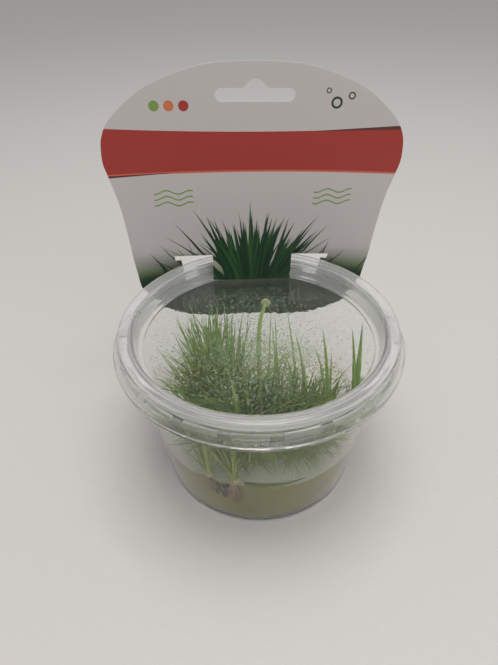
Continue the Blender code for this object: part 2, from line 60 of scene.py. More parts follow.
# Lid
LID_FLANGE_RADIUS, LID_FLANGE_TOP, LID_FLANGE = 50.5, 59.1, 1.2
LID_TOP, LID_WALL, SKIRT_RADIUS, SKIRT_STEP, SKIRT_STEP_HEIGHT = 65.6, 0.9, 48.5, 0.4, 61.2
RING_INNER_RADIUS, RING_ROUND, RECESS_RADIUS = 43.45, 1.4, 42.1
GROOVE_TOP, GROOVE_INNER_RADIUS, GROOVE_SLOPE = 58.0, 41.0, 0.5
DISC_TOP, DISC_THICKNESS = 58.5, 1.0
DISC_BOTTOM = DISC_TOP - DISC_THICKNESS
PADS, PAD_ANGLE, PAD_DEPTH = 20, math.radians(13.2), 1.3

# Card, in its own width and its height above CARD_FOOT
CARD_FOOT, CARD_PLANE, CARD_THICKNESS = 58.2, 36.0, 0.5
CARD_TURN = math.radians(1.7)
CARD_ROUND_CUP = math.radians(-2.2)
CARD_HALF_OUTLINE = (
    (0, 80.8), (13.5, 80.2), (24.0, 77.8), (35.0, 73.5), (43.0, 68.0), (48.8, 62.4),
    (51.4, 57.5), (52.2, 53.0), (52.2, 48.5), (51.0, 43.5), (49.0, 35.0), (47.7, 25.0),
    (46.8, 14.0), (46.2, 3.0), (45.0, -5.0), (41.5, -11.5), (35.0, -17.0), (26.0, -22.6),
    (14.0, -26.9), (0, -28.3),
)
HANG_HALF_WIDTH, HANG_HEIGHT, HANG_HALF_HEIGHT = 13.2, 70.9, 2.1
HANG_BUMP_RADIUS, HANG_BUMP_TOP = 3.6, 75.6
TONGUE_HALF_WIDTH, TONGUE_FOOT, BAND_TOP, SLIT_SIDE, STRIP_TOP = 15.6, 0.9, 0.4, 16.0, 1.5
LEG_INNER, LEG_OUTER, LEG_FOOT, BAR_OUTER, BAR_BOTTOM, BAR_TOP = 23.0, 28.4, -3.4, 30.7, 8.0, 11.7
BULGE_DEPTH, BULGE_WIDTH, BULGE_FULL_BELOW, BULGE_NONE_ABOVE = 16.2, 33.5, 2.0, 14.0
GROUND_HEIGHT = 18.0

# Gel
GEL_TOP, GEL_RINGS, GEL_TURNS = 23.6, 16, 240
GAP = 0.3
# Roots against the wall: their bearing in degrees, spread, the height of their tips, their number and seed
ROOT_FANS = {"roots_front": (-109.5, 3.0, 10.5, 26, 21), "roots_left": (-123.5, 2.4, 14.0, 16, 22)}
ROOT_RADIUS, DENT_DEPTH = 38.0, 1.5


def root_dent(bearing, height):
    """How far the gel is pushed in by the roots at a place on its side."""
    push = 0.0
    for middle, spread, foot, *_ in ROOT_FANS.values():
        off = math.radians(middle) - bearing
        across = (off + math.pi) % math.tau - math.pi
        rise = min(max((height - foot + 2) / 5, 0.0), 1.0)
        beside = math.exp(-((across * ROOT_RADIUS / (1.5 * spread)) ** 2))
        push += DENT_DEPTH * beside * rise * rise * (3 - 2 * rise)
    return push


# Scene

# Lights and floor, in metres
SURROUND_STRENGTH = 0.47
LIGHT_SIZE, LIGHT_TARGET = 0.6, Vector((0, 0, 0.05))
FLOOR_HALF_SIDE, FLOOR_DROP = 3.0, 0.0003


def new_object(name, data):
    """An object in the scene."""
    thing = bpy.data.objects.new(name, data)
    bpy.context.scene.collection.objects.link(thing)
    return thing


def new_mesh(name, verts, faces):
    """A mesh from its points and faces."""
    mesh = bpy.data.meshes.new(name)
    mesh.from_pydata(verts, [], faces)
    return mesh


def aim_camera():
    """The camera at the photograph's place and angle."""
    right = CAMERA_FORWARD.cross(Vector((0, 0, 1))).normalized()
    up = right.cross(CAMERA_FORWARD).normalized()
    across = math.cos(CAMERA_ROLL) * right + math.sin(CAMERA_ROLL) * up
    over = -math.sin(CAMERA_ROLL) * right + math.cos(CAMERA_ROLL) * up
    back = -CAMERA_FORWARD.normalized()
    camera = new_object("camera", bpy.data.cameras.new("camera"))
    camera.matrix_world = Matrix([
        [across[i], over[i], back[i], CAMERA_PLACE[i]] for i in range(3)
    ] + [[0, 0, 0, 1]])
    camera.data.lens = CAMERA_LENS
    camera.data.sensor_width = CAMERA_FILM
    camera.data.clip_start = 0.005
    bpy.context.scene.camera = camera


def area_light(name, place, power, colour):
    """A soft square light that faces the cup."""
    lamp = bpy.data.lights.new(name, "AREA")
    lamp.size = LIGHT_SIZE
    lamp.energy = power
    lamp.color = colour
    thing = new_object(name, lamp)
    thing.location = place
    thing.rotation_euler = (LIGHT_TARGET - Vector(place)).to_track_quat("-Z", "Y").to_euler()


def light_scene():
    """Plain soft light and a pale surround."""
    scene = bpy.context.scene
    world = bpy.data.worlds.new("studio")
    scene.world = world
    world.use_nodes = True
    background = world.node_tree.nodes["Background"]
    background.inputs["Color"].default_value = (1.0, 0.985, 0.975, 1)
    background.inputs["Strength"].default_value = SURROUND_STRENGTH
    area_light("overhead", (0.04, -0.05, 0.9), 4.5, (1.0, 0.98, 0.95))
    area_light("front", (0.35, -0.7, 0.6), 1.2, (1.0, 0.98, 0.97))
    scene.view_settings.view_transform = "Standard"
    scene.cycles.max_bounces = scene.cycles.transmission_bounces = 20
    scene.cycles.use_denoising = True


def lay_floor():
    """The pale floor that the cup stands on."""
    half = FLOOR_HALF_SIDE
    corners = [(-half, -half, 0), (half, -half, 0), (half, half, 0), (-half, half, 0)]
    floor = new_object("floor", new_mesh("floor", corners, [(0, 1, 2, 3)]))
    floor.location.z = -FLOOR_DROP
    material, nodes = new_material("floor", (0.62, 0.61, 0.595), 0.6)
    nodes.bump(nodes.noise(420, 3), 0.25, 0.0006)
    floor.data.materials.append(material)


# Materials

class Nodes:
    """Adds nodes to a material round its Principled shader."""

    def __init__(self, material):
        self.tree = material.node_tree
        self.shader = self.tree.nodes["Principled BSDF"]

    def feed(self, socket, value):
        """Gives an input a number, a vector, a colour or another node's output."""
        if isinstance(value, bpy.types.NodeSocket):
            self.tree.links.new(value, socket)
        else:
            socket.default_value = (*value, 1) if socket.type == "RGBA" else value

    def add(self, kind, inputs=None, **settings):
        """A node with its inputs and settings."""
        node = self.tree.nodes.new(kind)
        for name, value in settings.items():
            setattr(node, name, value)
        for name, value in (inputs or {}).items():
            self.feed(node.inputs[name], value)
        return node

    def place(self):
        """The point's place in the row frame."""
        return self.add("ShaderNodeTexCoord").outputs["Object"]

    def axis(self, name, vector=None):
        """One axis of a vector, or of the point's place."""
        return self.add("ShaderNodeSeparateXYZ", {0: vector or self.place()}).outputs[name]

    def noise(self, scale, detail=2, stretch=(1, 1, 1)):
        """Noise with cells of 1/scale metres."""
        place = self.add("ShaderNodeMapping", {"Scale": stretch, "Vector": self.place()}).outputs["Vector"]
        inputs = {"Scale": scale, "Detail": detail, "Vector": place}
        return self.add("ShaderNodeTexNoise", inputs).outputs["Fac"]

    def cells(self, scale):
        """Distance to the nearest of scattered points."""
        return self.add("ShaderNodeTexVoronoi", {"Scale": scale, "Vector": self.place()}).outputs["Distance"]

    def ramp(self, value, stops):
        """A colour for each value, from stops of a position and a colour."""
        node = self.add("ShaderNodeValToRGB", {"Fac": value})
        elements = node.color_ramp.elements
        while len(elements) < len(stops):
            elements.new(0.5)
        for element, (position, colour) in zip(elements, stops):
            element.position = position
            element.color = (*colour, 1)
        return node.outputs["Color"]

    def mix(self, share, one, two):
        """Two colours mixed."""
        return self.add("ShaderNodeMix", {0: share, 6: one, 7: two}, data_type="RGBA").outputs[2]

    def range(self, value, low, high, start, end):
        """A value carried from one range to another, and held within it."""
        inputs = {"Value": value, "From Min": low, "From Max": high, "To Min": start, "To Max": end}
        return self.add("ShaderNodeMapRange", inputs).outputs["Result"]

    def attribute(self, name):
        """An attribute of the mesh: its colour, its three numbers and its alpha."""
        node = self.add("ShaderNodeAttribute", attribute_name=name)
        split = self.add("ShaderNodeSeparateColor", {"Color": node.outputs["Color"]})
        return node.outputs["Color"], split.outputs, node.outputs["Alpha"]

    def colour(self, socket):
        self.feed(self.shader.inputs["Base Color"], socket)

    def tint(self, share, colour):
        """Mixes a colour over the base colour that the material already has."""
        before = self.shader.inputs["Base Color"].links[0].from_socket
        self.colour(self.mix(share, before, colour))

    def roughness(self, socket):
        self.feed(self.shader.inputs["Roughness"], socket)

    def bump(self, height, strength, distance):
        """Small relief from a height."""
        node = self.add("ShaderNodeBump", {"Height": height, "Strength": strength, "Distance": distance})
        self.feed(self.shader.inputs["Normal"], node.outputs["Normal"])


def new_material(name, colour, roughness, transmission=0.0, ior=1.5, coat=0.0):
    """A Principled material, and what adds nodes to it."""
    material = bpy.data.materials.new(name)
    material.use_nodes = True
    nodes = Nodes(material)
    values = {
        "Base Color": colour, "Roughness": roughness, "Transmission Weight": transmission,
        "IOR": ior, "Coat Weight": coat,
    }
    for name, value in values.items():
        nodes.feed(nodes.shader.inputs[name], value)
    return material, nodes


def clear_plastic(name, clearness, roughness, ripple, ior):
    """Clear plastic, faintly milky, with the slight ripple of its mould."""
    material, nodes = new_material(name, (0.985, 0.99, 0.985), roughness, clearness, ior)
    nodes.bump(nodes.noise(160, 2), ripple, 0.0002)
    return material


def misted_plastic():
    """The disc's underside, dulled by fine condensation."""
    material, nodes = new_material("misted plastic", (0.99, 0.995, 0.99), 0.03, 0.99, DISC_IOR)
    nodes.bump(nodes.cells(900), 0.10, 0.0002)
    return material


# Shapes

def place_piece(name, mesh, materials, slot, *nodes, part_of=None):
    """A finished piece that rides on the part and stands for CAD nodes. part_of picks a face's material."""
    piece = new_object(name, mesh)
    mesh.materials.clear()
    for material in materials:
        mesh.materials.append(material)
    if part_of:
        for face in mesh.polygons:
            face.material_index = part_of(face.center / MM)
    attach(piece, "root")
    if nodes:
        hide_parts(*nodes)


def arc(x, z, radius, start, end, steps):
    """Points of a circle's arc in a profile, with the angles in degrees."""
    angles = [math.radians(start + (end - start) * i / steps) for i in range(steps + 1)]
    return [(x + radius * math.cos(a), z + radius * math.sin(a)) for a in angles]


def rounded(profile, radius, steps=3):
    """A closed profile with its corners rounded. Each point may carry a radius of its own."""
    points = []
    count = len(profile)
    for i, corner in enumerate(profile):
        own = corner[2] if len(corner) > 2 else radius
        here = Vector(corner[:2])
        before, after = Vector(profile[i - 1][:2]) - here, Vector(profile[(i + 1) % count][:2]) - here
        reach = min(own, 0.45 * before.length, 0.45 * after.length)
        if here.x < 0.01 or reach < 0.02:
            points.append(tuple(here))
            continue
        one, two = here + before.normalized() * reach, here + after.normalized() * reach
        for k in range(steps + 1):
            t = k / steps
            points.append(tuple(one * (1 - t) ** 2 + here * 2 * t * (1 - t) + two * t * t))
    return points


def turned_mesh(name, profile, turns=TURNS):
    """A mesh turned round the Z axis from a closed profile in millimetres."""
    bm = bmesh.new()
    rings = []
    for radius, height in profile:
        if radius < 0.01:
            rings.append([bm.verts.new((0, 0, height * MM))] * turns)
            continue
        rings.append([
            bm.verts.new((
                radius * MM * math.cos(math.tau * k / turns), radius * MM * math.sin(math.tau * k / turns),
                height * MM,
            )) for k in range(turns)
        ])
    for lower, upper in zip(rings, rings[1:] + rings[:1]):
        for k in range(turns):
            n = (k + 1) % turns
            corners = list(dict.fromkeys((lower[k], lower[n], upper[n], upper[k])))
            if len(corners) > 2:
                bm.faces.new(corners)
    return finished_mesh(name, bm)


def smoothed(mesh, sharp=40):
    """A mesh shaded smooth but for its edges that are sharper than an angle."""
    mesh.shade_smooth()
    mesh.set_sharp_from_angle(angle=math.radians(sharp))
    return mesh


def finished_mesh(name, bm, sharp=40):
    """A smooth mesh from a bmesh."""
    bmesh.ops.recalc_face_normals(bm, faces=bm.faces)
    mesh = bpy.data.meshes.new(name)
    bm.to_mesh(mesh)
    bm.free()
    return smoothed(mesh, sharp)


def joined(name, mesh, other):
    """Two meshes as one closed skin."""
    thing, tool = new_object(name, mesh), new_object("tool", other)
    boolean = thing.modifiers.new("join", "BOOLEAN")
    boolean.operation = "UNION"
    boolean.object = tool
    boolean.solver = "EXACT"
    result = bpy.data.meshes.new_from_object(thing.evaluated_get(bpy.context.evaluated_depsgraph_get()))
    for o in (thing, tool):
        bpy.data.objects.remove(o, do_unlink=True)
    result.name = name
    return result


def inner_radius(height):
    """Radius of the cup's inner wall at a height."""
    return BASE_RADIUS + (RIM_RADIUS - BASE_RADIUS) * height / FLANGE_BOTTOM - WALL


# Cup and lid

def make_cup():
    """The cup, with rounded edges and its rim bead. Wall, rim and base have a plastic each."""
    flange_top = FLANGE_BOTTOM + CUP_FLANGE
    lip_inner = RIM_RADIUS - WALL + LIP_FLARE
    profile = [
        (0, 0), (BASE_RADIUS - 0.05, 0, 1.2), (RIM_RADIUS, FLANGE_BOTTOM, 0.8),
        (CUP_FLANGE_RADIUS, FLANGE_BOTTOM, 0.3), (CUP_FLANGE_RADIUS, flange_top, 0.2),
        (RIM_RADIUS, flange_top, 0.2), (lip_inner + WALL, LIP_TOP - 2.2, 0.4),
        (lip_inner + WALL + LIP_BEAD, LIP_TOP - 1.3, 0.3), (lip_inner + WALL, LIP_TOP, 0.3),
        (lip_inner, LIP_TOP, 0.3), (RIM_RADIUS - WALL, flange_top, 0.4),
        (inner_radius(FLANGE_BOTTOM), FLANGE_BOTTOM, 0.4), (inner_radius(FLOOR), FLOOR, 2.6), (0, FLOOR),
    ]
    mesh = turned_mesh("cup_clear", rounded(profile, 0.3))
    materials = [
        clear_plastic("cup wall plastic", 0.99, 0.0, 0.05, DISC_IOR),
        clear_plastic("cup rim plastic", 0.97, 0.03, 0.10, RING_IOR),
        clear_plastic("cup base plastic", 0.15, 0.20, 0.10, DISC_IOR),
    ]

    def part(centre):
        return 1 if centre.z > FLANGE_BOTTOM - 0.3 else 2 if centre.z < FLOOR + 0.2 else 0

    place_piece("cup_clear", mesh, materials, "clear_plastic", "cup", part_of=part)


def make_lid():
    """The lid, with its sunken disc, round hollow ring, stepped skirt, snap pads and flange."""
    step_radius = SKIRT_RADIUS + SKIRT_STEP
    step_foot = SKIRT_STEP_HEIGHT - SKIRT_STEP
    skirt_inside, step_inside = SKIRT_RADIUS - LID_WALL, step_radius - LID_WALL
    flange_bottom = LID_FLANGE_TOP - LID_FLANGE
    channel_top = LID_TOP - LID_WALL
    disc_radius = GROOVE_INNER_RADIUS - GROOVE_SLOPE
    profile = [
        (0, DISC_BOTTOM), (disc_radius, DISC_BOTTOM, 0.3),
        (GROOVE_INNER_RADIUS, GROOVE_TOP - DISC_THICKNESS, 0.2),
        (RECESS_RADIUS + LID_WALL - 0.2, GROOVE_TOP - DISC_THICKNESS, 0.5),
        (RING_INNER_RADIUS + LID_WALL, channel_top, 0.6), (skirt_inside, channel_top, 0.6),
        (skirt_inside, SKIRT_STEP_HEIGHT, 0.2), (step_inside, step_foot, 0.2),
        (step_inside, flange_bottom, 0.3), (LID_FLANGE_RADIUS, flange_bottom, 0.3),
        (LID_FLANGE_RADIUS, LID_FLANGE_TOP, 0.3), (step_radius, LID_FLANGE_TOP, 0.3),
        (step_radius, step_foot, 0.2), (SKIRT_RADIUS, SKIRT_STEP_HEIGHT, 0.2),
        (SKIRT_RADIUS, LID_TOP, 1.4 * RING_ROUND), (RING_INNER_RADIUS, LID_TOP, 1.4 * RING_ROUND),
        (RECESS_RADIUS, GROOVE_TOP, 0.3), (GROOVE_INNER_RADIUS, GROOVE_TOP, 0.2),
        (disc_radius, DISC_TOP, 0.3), (0, DISC_TOP),
    ]

    def part(centre):
        """Ring, disc top, disc underside, pads or skirt, in the order of the materials below."""
        radius = math.hypot(centre.x, centre.y)
        if radius <= disc_radius:
            return 1 if centre.z > DISC_TOP - 0.5 * DISC_THICKNESS else 2
        if skirt_inside - PAD_DEPTH < radius < step_inside + 0.05 and LID_FLANGE_TOP < centre.z < step_foot:
            return 3
        return 4 if radius > skirt_inside - 0.1 and centre.z < LID_TOP - RING_ROUND - 1 else 0

    mesh = turned_mesh("lid_clear", rounded(profile, 0.3, 4))
    mesh = smoothed(joined("lid_clear", mesh, pads_mesh(step_inside)))
    materials = [
        clear_plastic("lid ring plastic", 0.80, 0.12, 0.03, RING_IOR),
        clear_plastic("lid disc plastic", 0.99, 0.02, 0.05, DISC_IOR),
        misted_plastic(),
        clear_plastic("pad plastic", 0.95, 0.35, 0.10, PAD_IOR),
        clear_plastic("lid skirt plastic", 0.98, 0.08, 0.08, SKIRT_IOR),
    ]
    place_piece("lid_clear", mesh, materials, "clear_plastic", "lid", part_of=part)


def pads_mesh(wall_radius):
    """The blocks inside the skirt that snap under the cup's bead."""
    bm = bmesh.new()
    low, high = LID_FLANGE_TOP + 0.2, SKIRT_STEP_HEIGHT - SKIRT_STEP - 0.1
    inner, outer = wall_radius - PAD_DEPTH, wall_radius + 0.5 * LID_WALL
    section = ((inner, low + 0.4), (outer, low), (outer, high), (inner, high))
    steps = 6
    for pad in range(PADS):
        middle = math.tau * (pad + 0.5) / PADS
        ends = []
        for k in range(steps + 1):
            angle = middle + PAD_ANGLE * (k / steps - 0.5)
            ends.append([
                bm.verts.new((r * MM * math.cos(angle), r * MM * math.sin(angle), z * MM))
                for r, z in section
            ])
        for one, two in zip(ends, ends[1:]):
            for i in range(4):
                bm.faces.new((one[i], one[(i + 1) % 4], two[(i + 1) % 4], two[i]))
        bm.faces.new(ends[0])
        bm.faces.new(ends[-1])
    return finished_mesh("pads", bm)


DROPS, DROP_SIDES, DROP_LIMIT = 9300, 6, 39.3
# Rings of a drop: the share of its radius, and how far under the disc in radii
DROP_RINGS = ((1.0, -0.02), (0.72, 0.34), (0.0, 0.5))
# Where drops gather: their middle and spread from left to right, and from front to back
DROPS_OVER_PLANTS, DROPS_AT_BACK = ((-4, 13), (-13, 11)), ((0, 15), (21, 7))


def make_mist():
    """Condensation: coarse drops under the disc over the plants, fine ones at the back and all over."""
    draw = random.Random(4)
    verts, faces = [], []
    for k in range(DROPS):
        kind = k % 4
        fine = kind % 2
        if not fine:
            x, y = (draw.gauss(*place) for place in DROPS_OVER_PLANTS)
        elif kind == 1:
            x, y = (draw.uniform(-39, 39) for _ in range(2))
        else:
            x, y = (draw.gauss(*place) for place in DROPS_AT_BACK)
        if math.hypot(x, y) > DROP_LIMIT:
            continue
        if fine:
            radius = draw.uniform(0.10, 0.18)
        else:
            radius = draw.uniform(0.16, 0.33) * (0.8 + 0.5 * draw.random() ** 3)
        first = len(verts)
        for share, depth in DROP_RINGS:
            for side in range(DROP_SIDES if share else 1):
                angle = math.tau * side / DROP_SIDES
                verts.append((
                    (x + radius * share * math.cos(angle)) * MM,
                    (y + radius * share * math.sin(angle)) * MM,
                    (DISC_BOTTOM - radius * depth) * MM,
                ))
        second, tip = first + DROP_SIDES, first + 2 * DROP_SIDES
        faces.append(tuple(range(first, second)))
        for side in range(DROP_SIDES):
            after = (side + 1) % DROP_SIDES
            faces.append((first + side, second + side, second + after, first + after))
            faces.append((second + side, tip, second + after))
    material, _ = new_material("water", (0.74, 0.88, 0.64), 0.04, 0.80, WATER_IOR)
    place_piece("mist", smoothed(new_mesh("mist", verts, faces), 60), [material], "clear_plastic")


# Card

def smooth_outline(points, steps):
    """A curve through points in a plane or in space, with steps on each span."""
    smooth = []
    for i in range(len(points) - 1):
        before = points[max(i - 1, 0)]
        a, b = points[i], points[i + 1]
        after = points[min(i + 2, len(points) - 1)]
        for k in range(steps):
            t = k / steps
            smooth.append(tuple(
                0.5 * (2 * a[j] + (b[j] - before[j]) * t
                       + (2 * before[j] - 5 * a[j] + 4 * b[j] - after[j]) * t * t
                       + (3 * a[j] - before[j] - 3 * b[j] + after[j]) * t ** 3)
                for j in range(len(a))
            ))
    smooth.append(points[-1])
    return smooth


def mirrored(half):
    """A closed outline from its right half, whose first and last points lie on the middle line."""
    return list(half) + [(-x, z) for x, z in reversed(half[1:-1])]


def hang_hole():
    """The hang hole: a long slot with round ends and a round bump in the middle of its top."""
    end, fillet = HANG_HALF_WIDTH - HANG_HALF_HEIGHT, 0.9
    half = [(0, HANG_HEIGHT - HANG_HALF_HEIGHT)]
    half += arc(end, HANG_HEIGHT, HANG_HALF_HEIGHT, -90, 90, 12)
    half += arc(HANG_BUMP_RADIUS + fillet, HANG_HEIGHT + HANG_HALF_HEIGHT + fillet, fillet, 270, 200, 4)
    half += arc(0, HANG_BUMP_TOP - HANG_BUMP_RADIUS, HANG_BUMP_RADIUS, 24, 90, 8)
    half[-1] = (0, HANG_BUMP_TOP)
    return mirrored(half)


def clip_cut():
    """The cut that frees the tongue: a slit under it, and a hole beside it for the ring to pass through."""
    return mirrored([
        (0, BAND_TOP), (SLIT_SIDE, BAND_TOP), (SLIT_SIDE, STRIP_TOP), (LEG_INNER, STRIP_TOP),
        (LEG_INNER, LEG_FOOT), (LEG_OUTER, LEG_FOOT), (LEG_OUTER, BAR_BOTTOM), (BAR_OUTER, BAR_BOTTOM),
        (BAR_OUTER, BAR_TOP), (TONGUE_HALF_WIDTH, BAR_TOP), (TONGUE_HALF_WIDTH, TONGUE_FOOT),
        (0, TONGUE_FOOT),
    ])


def card_bulge(x, z):
    """How far the card is pushed back at a place, where its lower band goes round the lid's flange."""
    near = 0.1
    if abs(x) < TONGUE_HALF_WIDTH + near and TONGUE_FOOT - near < z < BULGE_NONE_ABOVE:
        return 0.0
    t = min(max((BULGE_NONE_ABOVE - z) / (BULGE_NONE_ABOVE - BULGE_FULL_BELOW), 0.0), 1.0)
    return BULGE_DEPTH * math.exp(-((x / BULGE_WIDTH) ** 2)) * t * t * (3 - 2 * t)


def inside(x, z, outline):
    """True if a point lies within a closed outline."""
    found = False
    for (ax, az), (bx, bz) in zip(outline, outline[1:] + outline[:1]):
        if (az > z) != (bz > z) and x < (bx - ax) * (z - az) / (bz - az) + ax:
            found = not found
    return found


# Inks
WHITE, RED, DARK_RED = (0.57, 0.535, 0.53), (0.38, 0.028, 0.018), (0.11, 0.02, 0.015)
RED_EDGE = (0.62, 0.13, 0.075)
GREENS = ((0.010, 0.040, 0.018), (0.016, 0.065, 0.022), (0.008, 0.032, 0.017), (0.035, 0.105, 0.03))
LIME, ORANGE = (0.20, 0.33, 0.07), (0.62, 0.18, 0.06)
# Foot, tip and width of the wide blades beside the fan
WIDE_BLADES = ((9, 33, 21, 1.9), (12, 29, 26, 2.1), (7, 24, 30, 2.2), (13, 36, 15, 1.6))


def ribbon(left, right, top, bottom, steps=24):
    """A band across the card between two curves."""
    xs = [left + (right - left) * i / steps for i in range(steps + 1)]
    return [(x, bottom(x)) for x in xs] + [(x, top(x)) for x in reversed(xs)]


def blade(x, tip_x, tip_z, foot, width, bow, *tones):
    """A printed blade of grass as its left and right halves, with a tone each."""
    steps = 7
    spine, halves = [], []
    for i in range(steps + 1):
        t = i / steps
        spine.append((x + (tip_x - x) * (t * t * bow + t * (1 - bow)), foot + (tip_z - foot) * t))
    for side, tone in zip((-1, 1), tones):
        edge = [
            (px + side * 0.5 * width * (1 - (i / steps) ** 1.6), pz)
            for i, (px, pz) in enumerate(spine[:-1])
        ]
        halves.append((spine + edge[::-1], tone))
    return halves


def disc_outline(x, z, radius, sides=20):
    """A round printed spot."""
    angles = [math.tau * k / sides for k in range(sides)]
    return [(x + radius * math.cos(a), z + radius * math.sin(a)) for a in angles]


def card_print():
    """The print as outlines and their colours, each over the ones before it."""
    band_top = lambda x: 59.4 + 1.2 * (x / 52) ** 2
    band_bottom = lambda x: 45.6 - 1.4 * (x / 52) ** 2
    shapes = [
        (ribbon(-60, 60, band_top, band_bottom), RED),
        (ribbon(-60, 60, lambda x: band_bottom(x) + 0.7, band_bottom), RED_EDGE),
        ([(-60, 44.0), (-60, 43.0), (-30, 45.3), (-30, 45.5)], DARK_RED),
        ([(60, 61.6), (60, 59.9), (22, 59.4), (22, 59.6)], DARK_RED),
    ]
    draw = random.Random(12)
    for i in range(86):
        spread = draw.uniform(-1, 1)
        foot_x = spread * draw.uniform(5, 15)
        reach = 36 - 15 * abs(spread) ** 1.5
        tip_x = foot_x + spread * draw.uniform(8, 20)
        tip_z = draw.uniform(0.55, 1.0) * reach
        tone = draw.randrange(4)
        width, bow = draw.uniform(1.9, 3.2), draw.uniform(0.2, 0.9)
        shapes += blade(foot_x, tip_x, tip_z, -2.0, width, bow, GREENS[tone], GREENS[(tone + 1) % 3])
    for side in (-1, 1):
        for foot_x, tip_x, tip_z, width in WIDE_BLADES:
            tip_x += draw.uniform(-2, 2)
            tip_z += draw.uniform(-2, 2)
            shapes += blade(side * foot_x, side * tip_x, tip_z, -1.0, width, 0.35, GREENS[1], GREENS[0])
    for side in (-1, 1):
        for i in range(7):
            foot_x = side * draw.uniform(20, 44)
            tip_x = foot_x + side * draw.uniform(2, 10)
            tip_z, width = draw.uniform(8, 19), draw.uniform(0.8, 1.6)
            shapes += blade(foot_x, tip_x, tip_z, -2, width, 0.6, GREENS[draw.randrange(3)], GREENS[2])
    for x, z, radius in ((27.0, 68.5, 1.9), (31.8, 70.6, 1.2), (24.0, 72.2, 0.9)):
        shapes += [(disc_outline(x, z, radius), GREENS[2]), (disc_outline(x, z, 0.62 * radius), WHITE)]
    for x, colour in ((-33.0, LIME), (-28.2, ORANGE), (-23.4, RED)):
        shapes.append((disc_outline(x, 67.6, 1.7), colour))
    for k in range(3):
        wave = lambda x, k=k: 38.6 - 2.2 * k + 0.7 * math.sin(0.75 * x)
        for start in (-36, 22):
            shapes.append((ribbon(start, start + 14, wave, lambda x, w=wave: w(x) - 0.55), LIME))
    return shapes


def flat_triangles(outlines):
    """Corners and triangles of a flat sheet with the outlines as edges, and a grid for the bulge."""
    points, edges = [], []
    for outline in outlines:
        first = len(points)
        points += [Vector(p) for p in outline]
        edges += [(first + i, first + (i + 1) % len(outline)) for i in range(len(outline))]
    points += [Vector((i * 3.7 + 0.3, k * 3.6 + 0.2)) for i in range(-13, 14) for k in range(-8, 5)]
    corners, _, triangles, _, _, _ = delaunay_2d_cdt(points, edges, [], 0, 1e-5)
    return corners, triangles


def ink_finder(shapes):
    """A function that gives the ink at a place, with an alpha of 0 where nothing is printed."""
    bounds = []
    for outline, _ in shapes:
        xs, zs = zip(*outline)
        bounds.append((min(xs), max(xs), min(zs), max(zs)))

    def ink_at(x, z):
        colour = (0, 0, 0, 0)
        for (outline, tint), (x0, x1, z0, z1) in zip(shapes, bounds):
            if x0 <= x <= x1 and z0 <= z <= z1 and inside(x, z, outline):
                colour = (*tint, 1)
        return colour

    return ink_at


def card_mesh():
    """The card as one thin sheet whose front faces carry the print."""
    outer = mirrored(smooth_outline(CARD_HALF_OUTLINE, 6))
    holes = [hang_hole(), clip_cut()]
    shapes = card_print()
    ink_at = ink_finder(shapes)
    flat, triangles = flat_triangles([outer, *holes, *(s for s, _ in shapes)])
    bm = bmesh.new()
    ink = bm.loops.layers.float_color.new("ink")
    verts = [bm.verts.new((p.x, 0, p.y)) for p in flat]
    for triangle in triangles:
        x = sum(flat[i].x for i in triangle) / 3
        z = sum(flat[i].y for i in triangle) / 3
        if not inside(x, z, outer) or any(inside(x, z, hole) for hole in holes):
            continue
        face = bm.faces.new([verts[i] for i in triangle])
        colour = ink_at(x, z)
        for loop in face.loops:
            loop[ink] = colour
    bmesh.ops.delete(bm, geom=[v for v in bm.verts if not v.link_faces], context="VERTS")
    front = bm.faces[:]
    made = bmesh.ops.extrude_face_region(bm, geom=front)["geom"]
    back = [v for v in made if isinstance(v, bmesh.types.BMVert)]
    bmesh.ops.translate(bm, verts=back, vec=(0, CARD_THICKNESS, 0))
    front = set(front)
    for face in bm.faces:
        if face not in front:
            for loop in face.loops:
                loop[ink] = (*WHITE, 1)
    for vert in bm.verts:
        vert.co.y += card_bulge(vert.co.x, vert.co.z) - CARD_THICKNESS / 2
    foot = Matrix.Translation(Vector((0, CARD_PLANE, CARD_FOOT)) * MM) @ Matrix.Rotation(CARD_TURN, 4, "Y")
    place = Matrix.Rotation(CARD_ROUND_CUP, 4, "Z") @ foot @ Matrix.Scale(MM, 4)
    bmesh.ops.transform(bm, matrix=place, verts=bm.verts)
    return finished_mesh("card", bm, 50)


def make_card():
    """The printed card: its inks, over a ground that runs from dark green at the foot to white."""
    material, nodes = new_material("printed card", WHITE, 0.36, coat=0.12)
    ink_colour, _, printed = nodes.attribute("ink")
    height = nodes.range(nodes.axis("Z"), CARD_FOOT * MM, (CARD_FOOT + GROUND_HEIGHT) * MM, 0, 1)
    ground = nodes.ramp(height, (
        (0.0, (0.014, 0.040, 0.020)), (0.10, (0.045, 0.09, 0.04)), (0.26, (0.20, 0.26, 0.15)),
        (0.48, (0.40, 0.42, 0.36)), (0.8, WHITE),
    ))
    nodes.colour(nodes.mix(printed, ground, ink_colour))
    nodes.roughness(nodes.range(nodes.noise(300, 3), 0.3, 0.7, 0.33, 0.40))
    nodes.bump(nodes.noise(60, 2, (1, 1, 0.25)), 0.04, 0.0006)
    place_piece("card", card_mesh(), [material], "printed_card", "header_card")


# Gel

